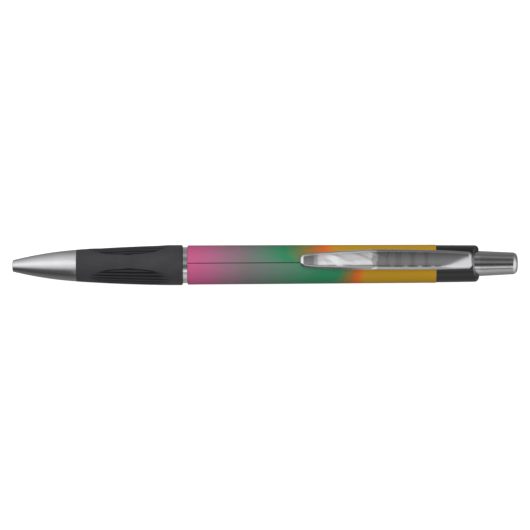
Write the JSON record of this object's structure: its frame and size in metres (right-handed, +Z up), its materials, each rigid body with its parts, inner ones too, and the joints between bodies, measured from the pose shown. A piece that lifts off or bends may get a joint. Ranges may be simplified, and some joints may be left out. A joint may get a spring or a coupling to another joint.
{
  "type": "retractable ball pen",
  "caption": "Slim click pen with tapered metal nose, ribbed rubber grip, straight printed barrel, dark collar, sprung pocket clip and round push button.",
  "frame": {"origin": "under the middle of the pen's length, on the surface that the grip rests on", "axes": "+X along the pen from the writing end to the push button, +Z up through the pocket clip"},
  "size_m": [0.142, 0.0112, 0.0137],
  "materials": {
    "nose_chrome": "satin chrome plate",
    "core_plastic": "moulded black plastic",
    "grip_rubber": "matt moulded rubber",
    "ring_metal": "satin plated ring",
    "bush_brass": "turned brass",
    "barrel_metal": "dark anodised drawn tube",
    "print_film": "printed film, satin lacquer",
    "collar_black": "gloss moulding",
    "mechanism_white": "natural acetal",
    "clip_chrome": "bright chrome plate",
    "button_chrome": "bright chrome plate",
    "mechanism_black": "moulded acetal",
    "spring_steel": "drawn spring wire",
    "refill_plastic": "translucent tube",
    "ink": "blue ink paste",
    "grease": "clear follower grease",
    "point_brass": "turned point",
    "ball_carbide": "polished carbide"
  },
  "bodies": {
    "housing": {"nose_cone": "nose_chrome", "grip_core": "core_plastic", "grip_sleeve": "grip_rubber", "trim_ring": "ring_metal", "thread_bush": "bush_brass", "barrel": "barrel_metal", "print_wrap": "print_film", "collar": "collar_black", "cam_guide": "mechanism_white", "return_spring": "spring_steel"},
    "button": {"button_cap": "button_chrome", "pusher": "mechanism_black"},
    "refill": {"refill_tube": "refill_plastic", "refill_ink": "ink", "refill_grease": "grease", "refill_tip": "point_brass", "refill_ball": "ball_carbide"},
    "rotor": {"cam_rotor": "mechanism_white"},
    "clip": {"clip": "clip_chrome"}
  },
  "joints": [
    {"name": "button_press", "type": "slide", "parent": "housing", "child": "button", "axis": [-1, 0, 0], "range_m": [0, 0.006], "stiffness_N_per_m": 260, "springref_m": -0.01},
    {"name": "refill_advance", "type": "slide", "parent": "housing", "child": "refill", "axis": [-1, 0, 0], "range_m": [0, 0.0055], "deforming": ["return_spring"]},
    {"name": "rotor_turn", "type": "hinge", "parent": "refill", "child": "rotor", "pos_m": [0.038, 0, 0.00565], "axis": [1, 0, 0], "range_deg": [0, 18.5]},
    {"name": "clip_lift", "type": "hinge", "parent": "housing", "child": "clip", "pos_m": [0.0555, 0, 0.01085], "axis": [0, 1, 0], "range_deg": [0, 4], "stiffness_Nm_per_rad": 0.18, "springref_deg": -28.65}
  ],
  "couplings": [
    {"joint": "refill_advance", "follows": "button_press", "ratio": 0.9058},
    {"joint": "rotor_turn", "follows": "button_press", "rad_per_m": 52.36}
  ]
}
